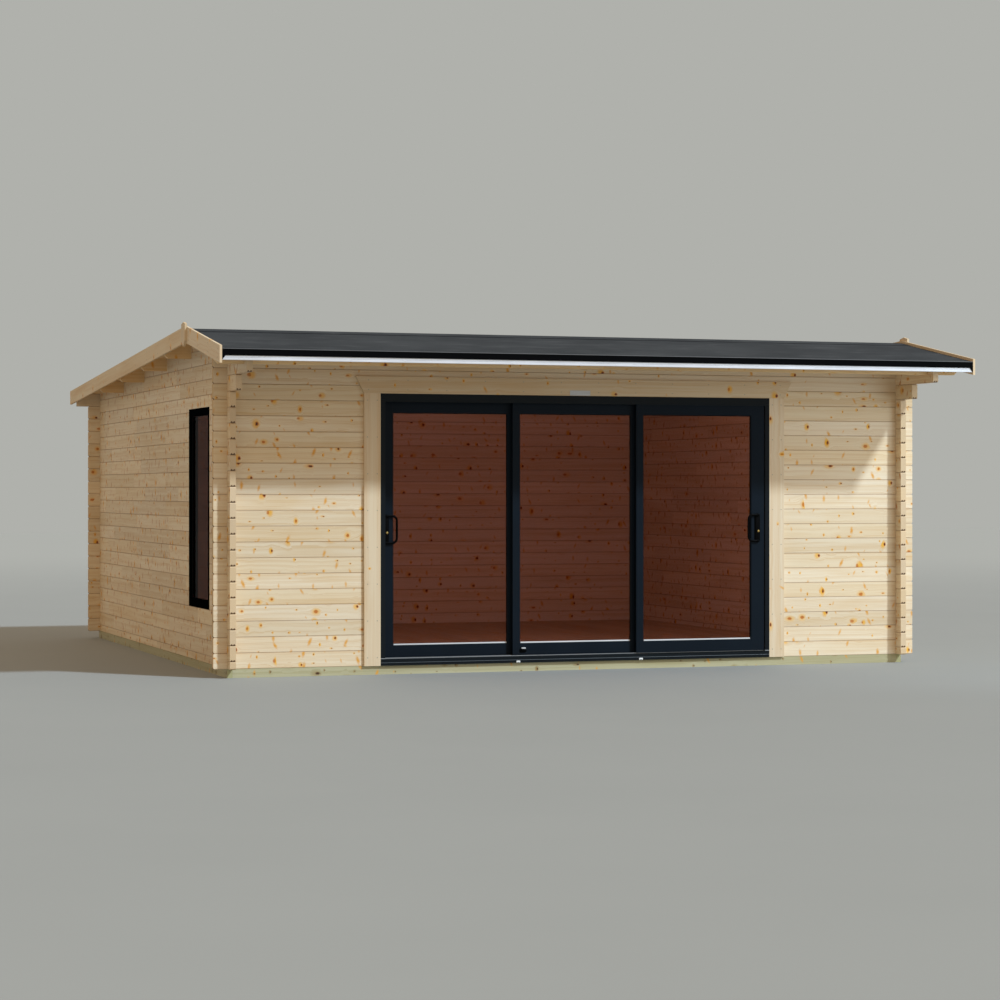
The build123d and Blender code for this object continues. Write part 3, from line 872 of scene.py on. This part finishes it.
def roundedOutline(halfX, halfZ, radius, steps=6):
    # corner centre + radius * (cos t, sin t), a quarter turn at each corner
    turn = np.linspace(0.0, math.pi / 2, steps) + np.arange(4)[:, None] * math.pi / 2
    corners = np.array([[1, 1], [-1, 1], [-1, -1], [1, -1]]) * (halfX - radius, halfZ - radius)
    points = corners[:, None, :] + radius * np.stack([np.cos(turn), np.sin(turn)], axis=-1)
    return points.reshape(-1, 2)


def casting(centreX, centreZ, halfX, halfZ, radius, levels, leastRadius=0.0004):
    # rounded outlines one behind another; levels holds (inset, y) from back to front
    outlines = []
    for inset, y in levels:
        x, z = roundedOutline(halfX - inset, halfZ - inset, max(radius - inset, leastRadius)).T
        outlines.append(spots(centreX + x, y, centreZ + z))
    return capped(outlines)


def domed(centreX, centreZ, halfX, halfZ, radius, edge, back, front, steps=5):
    # a casting whose y and inset follow a quarter turn, so that its edge is round from side to face
    turn = np.linspace(0.0, math.pi / 2, steps)
    start = back + (front - back) * 0.35
    rounded = np.column_stack([edge * (1 - np.cos(turn)), start + (front - start) * np.sin(turn)])
    return casting(centreX, centreZ, halfX, halfZ, radius, [(0.0, back), *rounded])


def tube(path, halfAcross, halfDeep, y, sides=14):
    # path point + across * cos t in the path's own plane, and y + halfDeep * sin t
    path = np.asarray(path, float)
    ahead = np.gradient(path, axis=0)
    ahead /= np.linalg.norm(ahead, axis=1)[:, None]
    across = np.column_stack([-ahead[:, 1], ahead[:, 0]])
    turn = np.arange(sides) * 2 * math.pi / sides
    flat = path[:, None, :] + across[:, None, :] * (halfAcross * np.cos(turn))[None, :, None]
    return capped([spots(loop[:, 0], y + halfDeep * np.sin(turn), loop[:, 1]) for loop in flat])


handleSettings = {
    "plateHalf": 0.021,
    "plateDepth": 0.008,
    "plateRound": (0.018, 0.004),  # corner, and the rounding of its edge
    "plateInset": 0.023,  # middle of the plate, from the side of the handle
    "barHalf": 0.0085,  # half thickness of the bow, seen from the front
    "barDeep": 0.005,
    "bend": 0.036,
    "footInset": 0.012,  # middle of a foot, from the end of the plate
    "footSink": 0.001,
    # half width, half height, corner and the rounding of the edge
    "foot": (0.013, 0.0095, 0.009, 0.003),
    "ring": (0.0085, 0.0085, 0.0084, 0.0015),
    "barrel": (0.0052, 0.0052, 0.0051),
    "keyhole": (0.0006, 0.0032, 0.0005),
    "keyOffset": (0.006, -0.024),  # from the middle of the plate
    # (inset, distance in front of the plate)
    "barrelLevels": ((0.0, 0.002), (0.0, 0.0042), (0.0006, 0.0045)),
    "keyholeLevels": ((0.0, 0.0044), (0.0, 0.0047)),
    "ringHigh": 0.003,
}


def bowPath(rootX, tipX, z0, z1, bend, steps=9):
    # out from the plate, round a quarter turn, down, round another and back
    hand = 1 if tipX > rootX else -1
    turn = np.linspace(0.0, math.pi / 2, steps)
    upper = np.column_stack([tipX - hand * bend * (1 - np.sin(turn)), z1 - bend * (1 - np.cos(turn))])
    lower = np.column_stack([upper[::-1, 0], z0 + z1 - upper[::-1, 1]])
    middle = np.linspace(upper[-1], lower[0], 6)[1:-1]
    return np.vstack([[(rootX, z1)], upper, middle, lower, [(rootX, z0)]])


def makeHandle(side, hand, look):
    body = "panel_" + side
    low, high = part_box(body + "_handle")
    plateX = (low.x if hand > 0 else high.x) + hand * look["plateInset"]
    tip = (high.x if hand > 0 else low.x) - hand * look["barHalf"]
    middleZ, halfZ = (low.z + high.z) / 2, (high.z - low.z) / 2
    front = high.y - look["plateDepth"]
    plate = domed(plateX, middleZ, look["plateHalf"], halfZ, *look["plateRound"], high.y, front)
    reach = halfZ - look["footInset"]
    path = bowPath(plateX, tip, middleZ - reach, middleZ + reach, look["bend"])
    bow = tube(path, look["barHalf"], look["barDeep"], (low.y + front) / 2)
    footBack = front + look["footSink"]
    feet = [domed(plateX, middleZ + up * reach, *look["foot"], footBack, low.y) for up in (-1, 1)]
    pull = joined([plate, bow, *feet])
    makePiece(body + "_pull", *pull, handleCoat, body, "handle_black", [body + "_handle"], smooth=50)

    keyX, keyZ = plateX + look["keyOffset"][0], middleZ + look["keyOffset"][1]
    barrelLevels, keyholeLevels = (
        [(inset, front - ahead) for inset, ahead in look[part + "Levels"]] for part in ("barrel", "keyhole")
    )
    ring = domed(keyX, keyZ, *look["ring"], front, front - look["ringHigh"])
    barrel = casting(keyX, keyZ, *look["barrel"], barrelLevels)
    makePiece(body + "_lock", *joined([ring, barrel]), brassMetal, body, "plate_metal", smooth=50)
    # the keyhole is a black piece: painted shade in the key slot
    keyhole = casting(keyX, keyZ, *look["keyhole"], keyholeLevels)
    makePiece(body + "_keyhole", *keyhole, rubberAndHoleShade, body, "handle_black")


makeHandle("left", 1, handleSettings)
makeHandle("right", -1, handleSettings)


boltSettings = {
    "shift": 0.004,  # case down, thumb piece to the left and cap to the right
    "caseBack": 0.003,  # face of the case, behind that of the thumb piece
    "caseRound": (0.012, 0.004),
    "thumb": (0.012, 0.009, 0.006, 0.002),
    "thumbDeep": 0.004,
    "capBack": 0.001,
    "capInset": 0.010,
    "capDrop": 0.0065,
    "cap": (0.006, 0.004, 0.003),  # half height, corner and the rounding of the edge
}


def makeBolt(look):
    low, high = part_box("panel_middle_bolt")
    middleX, middleZ = (low.x + high.x) / 2, (low.z + high.z) / 2
    halfX, halfZ = (high.x - low.x) / 2, (high.z - low.z) / 2
    shift = look["shift"]
    caseFace = low.y + look["caseBack"]
    case = domed(middleX, middleZ - shift, halfX, halfZ - shift, *look["caseRound"], high.y, caseFace)
    thumb = domed(middleX - shift, middleZ, *look["thumb"], low.y + look["thumbDeep"], low.y)
    lock = joined([case, thumb])
    makePiece("panel_middle_lock", *lock, handleCoat, "panel_middle", "handle_black", ["panel_middle_bolt"],
              smooth=50)
    capShape = (halfX - look["capInset"], *look["cap"])
    # the cap's pale grey is a painted highlight on the bolt
    cap = domed(middleX + shift, high.z - look["capDrop"], *capShape, high.y, low.y + look["capBack"])
    makePiece("panel_middle_lock_cap", *cap, highlightGrey, "panel_middle", "plate_metal", smooth=50)


makeBolt(boltSettings)


drainSettings = {
    "half": 0.015,
    "round": (0.004, 0.0025),
    "slot": (0.009, 0.0016, 0.0012),  # half width, half height and corner
    "slotLift": 0.0035,
    "slotDeep": 0.002,
    "slotProud": 0.0002,
}


def makeDrainCaps(look):
    low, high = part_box("drain_caps")
    middleZ, halfZ = (low.z + high.z) / 2, (high.z - low.z) / 2
    half = look["half"]
    slotLevels = [(0.0, low.y + look["slotDeep"]), (0.0, low.y - look["slotProud"])]
    middles = (low.x + half, high.x - half)
    shells = [domed(x, middleZ, half, halfZ, *look["round"], high.y, low.y) for x in middles]
    # each slot is a black piece: painted shade in the cap's opening
    slots = [casting(x, low.z + look["slotLift"], *look["slot"], slotLevels) for x in middles]
    makePiece("drain_covers", *joined(shells), capPlastic, "cabin", "cap_plastic", ["drain_caps"], smooth=50)
    makePiece("drain_slots", *joined(slots), rubberAndHoleShade, "cabin", "black_aluminium")


makeDrainCaps(drainSettings)
print("handles, bolt and drain caps ready")


# screws


screwSettings = {
    "radius": 0.0036,
    "height": 0.0011,
    "sides": 10,
    "headReach": 0.062,  # of the head board, past the upright ones
    "pairHalf": 0.036,
    "trimRows": (0.06, 0.05, 8),  # from the foot, from the top of the frame, and how many
    "headRows": (1.62, 12, 0.026),  # reach to each side, how many, and how far from the edges
    "plateHalf": 0.12,
    "eaveRow": (0.12, 15, 0.009),  # from the ends, how many, and how far over the foot
    "front": (0.06, 0.12, 4),  # barge boards: from the two ends, and how many
    "rear": (0.12, 0.06, 12),
    "bargeDrops": (0.030, 0.089),
    "finialRise": 0.027,  # of the finial over the barge boards
}


def screwHeads(name, centres, facing, finish, slotName, look):
    # centre + r * (cos t, sin t) round the head and h out of the board, with a recess in the middle
    sides = look["sides"]
    turn = np.arange(sides) * 2 * math.pi / sides
    rise = np.array([-0.4, 0.35, 0.9, 1.0, 0.5]) * look["height"]
    reach = np.array([1.0, 1.0, 0.8, 0.42, 0.3]) * look["radius"]
    ring = reach[:, None, None] * np.stack([np.cos(turn), np.sin(turn)], axis=-1)[None]
    head = np.zeros((len(rise), sides, 3))
    axis = 1 if abs(facing[1]) > 0.5 else 0
    others = [n for n in range(3) if n != axis]
    head[..., others[0]], head[..., others[1]] = ring[..., 0], ring[..., 1]
    head[..., axis] = rise[:, None] * facing[axis]
    points, faces = capped(head)
    heads = joined([(points + centre, faces) for centre in centres])
    makePiece(name, *heads, finish, "cabin", slotName)


def pairs(across, along):
    # every mix of two lists, as two columns
    first, second = np.meshgrid(across, along, indexing="ij")
    return first.ravel(), second.ravel()


def makeScrews(look):
    # trim beside and over the door
    middle = (frameHigh.x + boardSettings["gap"] + trimHigh.x - look["headReach"]) / 2
    half = look["pairHalf"]
    foot, top, count = look["trimRows"]
    x, z = pairs([-middle - half, -middle + half, middle - half, middle + half],
                 np.linspace(trimLow.z + foot, frameHigh.z - top, count))
    sides = spots(x, trimLow.y, z)
    reach, count, inset = look["headRows"]
    x, z = pairs(np.linspace(-reach, reach, count), [frameHigh.z + inset, trimHigh.z - inset])
    keep = abs(x) > look["plateHalf"]
    head = spots(x[keep], trimLow.y, z[keep])
    screwHeads("trim_screws", np.vstack([sides, head]), (0, -1, 0), screwMetal, "plate_metal", look)

    # the metal strip along each eave
    inset, count, rise = look["eaveRow"]
    for side, facing in (("front", -1), ("rear", 1)):
        low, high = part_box("eave_strip_" + side)
        x = np.linspace(low.x + inset, high.x - inset, count)
        row = spots(x, low.y if facing < 0 else high.y, low.z + rise)
        screwHeads("eave_screws_" + side, row, (0, facing, 0), eaveMetal, "eave_metal", look)

    # barge boards, over the ends of the purlins
    for side, hand in (("left", -1), ("right", 1)):
        rows = []
        for part, slope in (("front", frontSlope), ("rear", rearSlope)):
            low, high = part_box("barge_" + side + "_" + part)
            start, end, count = look[part]
            y, drop = pairs(np.linspace(low.y + start, high.y - end, count), look["bargeDrops"])
            z = finialHigh.z - look["finialRise"] - slope * abs(y - ridgeY) - drop
            rows.append(spots(low.x if hand < 0 else high.x, y, z))
        screwHeads("barge_screws_" + side, np.vstack(rows), (hand, 0, 0), screwMetal, "plate_metal", look)


makeScrews(screwSettings)
print("screws ready")


# laps and edges of the roof covering


coverSettings = {
    "lapReach": 0.95,  # from one lap to the next, down the slope
    "lapWide": 0.09,
    "lapHigh": 0.0028,
    "lapEnd": 0.2,  # from the eave, where no lap begins
    "ridgeHalf": 0.16,  # sheet that covers the ridge
    "clear": 0.0002,
    "dropHigh": 0.047,
    "dropDeep": 0.0014,
    "dropBevel": 0.001,
    "foldRadius": 0.0026,
    "foldAt": (0.0004, 0.0016),  # behind the edge and under the top
    "flapWide": 0.027,
    "flapHigh": 0.033,
    "flapDepths": (0.0042, 0.0003),  # in front of the strip
}
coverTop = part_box("felt_front")[1].z + 0.00002  # a hair over the ridge of the sheet


def slopeTop(y, lift=0.0):
    # height of the covering at y
    slope = np.where(np.asarray(y) < ridgeY, frontSlope, rearSlope)
    return coverTop - slope * abs(np.asarray(y) - ridgeY) + lift


def makeCover(look):
    low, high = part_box("felt_front")[0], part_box("felt_rear")[1]
    lapHigh, clear = look["lapHigh"], look["clear"]
    y = np.array([ridgeY - look["ridgeHalf"], ridgeY, ridgeY + look["ridgeHalf"]])
    under = np.column_stack([y, slopeTop(y, clear)])
    over = np.column_stack([y, slopeTop(y, lapHigh)])[::-1]
    ridgeSheet = bar(np.vstack([under, over]), low.x, high.x)
    makePiece("felt_ridge_sheet", *ridgeSheet, felt, "cabin", "roofing_felt")
    laps = []
    for lower in np.arange(ridgeY + look["lapReach"], high.y - look["lapEnd"], look["lapReach"]):
        upper = lower - look["lapWide"]
        foot, top = slopeTop(lower, clear), slopeTop(lower, lapHigh)
        laps.append(bar([(upper, slopeTop(upper, clear)), (lower, foot), (lower, top)], low.x, high.x))
    makePiece("felt_laps", *joined(laps), felt, "cabin", "roofing_felt")

    # the strip turned down over each eave, and its rounded fold
    turn = np.arange(12) * math.pi / 6
    arc = look["foldRadius"] * np.column_stack([np.cos(turn), np.sin(turn)])
    for side, edge, inward in (("front", low.y, 1), ("rear", high.y, -1)):
        edgeTop, bevel = float(slopeTop(edge)), look["dropBevel"]
        foot, top = edgeTop - look["dropHigh"], edgeTop - bevel
        near, far = edge - inward * clear, edge - inward * look["dropDeep"]
        skirt = bar([(near, foot), (far, foot + bevel), (far, top), (near, top)], low.x, high.x)
        makePiece("felt_skirt_" + side, *skirt, feltEdge, "cabin", "roofing_felt")
        # the rounded fold is paler grey than the covering: a painted highlight along the eave
        behind, under = look["foldAt"]
        fold = bar(arc + (edge + inward * behind, edgeTop - under), low.x, high.x)
        makePiece("felt_fold_" + side, *fold, foldHighlight, "cabin", "roofing_felt", smooth=40)

    # the covering's corners, folded over the ends of the front strip
    low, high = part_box("eave_strip_front")
    top = low.z + look["flapHigh"]
    for side, hand in (("left", -1), ("right", 1)):
        x = high.x * hand
        corners = ((x, x, x - hand * look["flapWide"]), (low.z, top, top))
        flap = capped([spots(corners[0], low.y - depth, corners[1]) for depth in look["flapDepths"]])
        makePiece("felt_flap_" + side, *flap, feltEdge, "cabin", "roofing_felt")


makeCover(coverSettings)


# sill nose: a grey rounded lip along the front of the door frame

sillSettings = {"lift": 0.021, "high": 0.0045, "deep": 0.0028, "end": 0.001}


def makeSillNose(look):
    turn = np.linspace(-math.pi / 2, math.pi / 2, 9)
    z = frameLow.z + look["lift"]
    arc = np.column_stack([frameLow.y - look["deep"] * np.cos(turn), z + look["high"] / 2 * np.sin(turn)])
    nose = bar(arc, frameLow.x + look["end"], frameHigh.x - look["end"])
    makePiece("sill_nose", *nose, noseCoat, "cabin", "black_aluminium", smooth=40)


makeSillNose(sillSettings)
print("covering and sill ready")


# floor and light

stageSettings = {
    "reach": 60.0,
    "colour": linear(156, 158, 154),
    "patches": 0.93,
    "distance": linear(168, 170, 165),
    "fade": (7.0, 34.0),  # from the cabin, where one colour turns into the other
    "roughness": 0.8,
    "backdrop": linear(176, 177, 172),
    "sunStrength": 3.2,
    "sunColour": (0.695, 0.845, 1.0),
    "sunTowards": (-0.85, 1.0, -1.18),
    "sunSoftness": 4.0,  # degrees
    "skyStrength": 0.60,
    "skyColour": (1.0, 0.80, 0.60, 1.0),
    # lamps: width, height, spread in degrees, watts, colour, place and the way it shines
    "roomLamp": (2.8, 1.6, 180.0, 42.0, (1.0, 0.93, 0.92), (0.0, -2.15, 1.2), (0.0, 1.0, 0.0)),
    "sideLamp": (2.5, 2.5, 90.0, 22.0, (0.66, 0.82, 1.0), (4.4, -6.5, 2.4), (-2.1, 3.9, -0.9)),
}


def addLamp(name, width, height, spread, watts, colour, place, towards):
    # a soft lamp that neither the camera nor a reflection sees
    data = bpy.data.lights.new(name, "AREA")
    data.shape = "RECTANGLE"
    data.size, data.size_y = width, height
    data.spread = math.radians(spread)
    data.energy = watts
    data.color = colour
    lamp = addObject(name, data)
    lamp.location = place
    lamp.rotation_euler = Vector(towards).to_track_quat("-Z", "Y").to_euler()
    lamp.visible_camera = False
    lamp.visible_glossy = False


def makeStage(look):
    reach = look["reach"]
    mesh = bpy.data.meshes.new("groundMesh")
    corners = [(-reach, -reach, 0.0), (reach, -reach, 0.0), (reach, reach, 0.0), (-reach, reach, 0.0)]
    mesh.from_pydata(corners, [], [(0, 1, 2, 3)])
    ground = addObject("ground", mesh)
    f = Finish("ground")
    place = f.where()
    x, y = f.split(place)[:2]
    cloud = f.noise(place, 0.6, 5.0)
    shade = f.blend(cloud, scaled(look["colour"], look["patches"]), look["colour"])
    shade = f.blend(x.length(y).ease(*look["fade"]), shade, look["distance"])
    mesh.materials.append(f.done(f.surface(shade, look["roughness"])))

    sun = bpy.data.lights.new("keySun", "SUN")
    sun.energy = look["sunStrength"]
    sun.color = look["sunColour"]
    sun.angle = math.radians(look["sunSoftness"])
    addObject("keySun", sun).rotation_euler = Vector(look["sunTowards"]).to_track_quat("-Z", "Y").to_euler()

    # the room lamp stands for the daylight that the tinted panes keep out
    addLamp("roomLamp", *look["roomLamp"])
    addLamp("sideLamp", *look["sideLamp"])

    world = bpy.data.worlds.new("studio")
    bpy.context.scene.world = world
    f = Finish(world, "OutputWorld")
    light = f.add("Background", sockets={"Color": look["skyColour"], "Strength": look["skyStrength"]})
    seen = f.add("Background", sockets={"Color": look["backdrop"], "Strength": 1.0})
    path = f.add("LightPath", out="Is Camera Ray")
    shown = path.most(path.out("Is Glossy Ray")).most(path.out("Is Transmission Ray"))
    f.done(f.add("MixShader", sockets={0: shown, 1: light, 2: seen}))


makeStage(stageSettings)
print("stage ready")
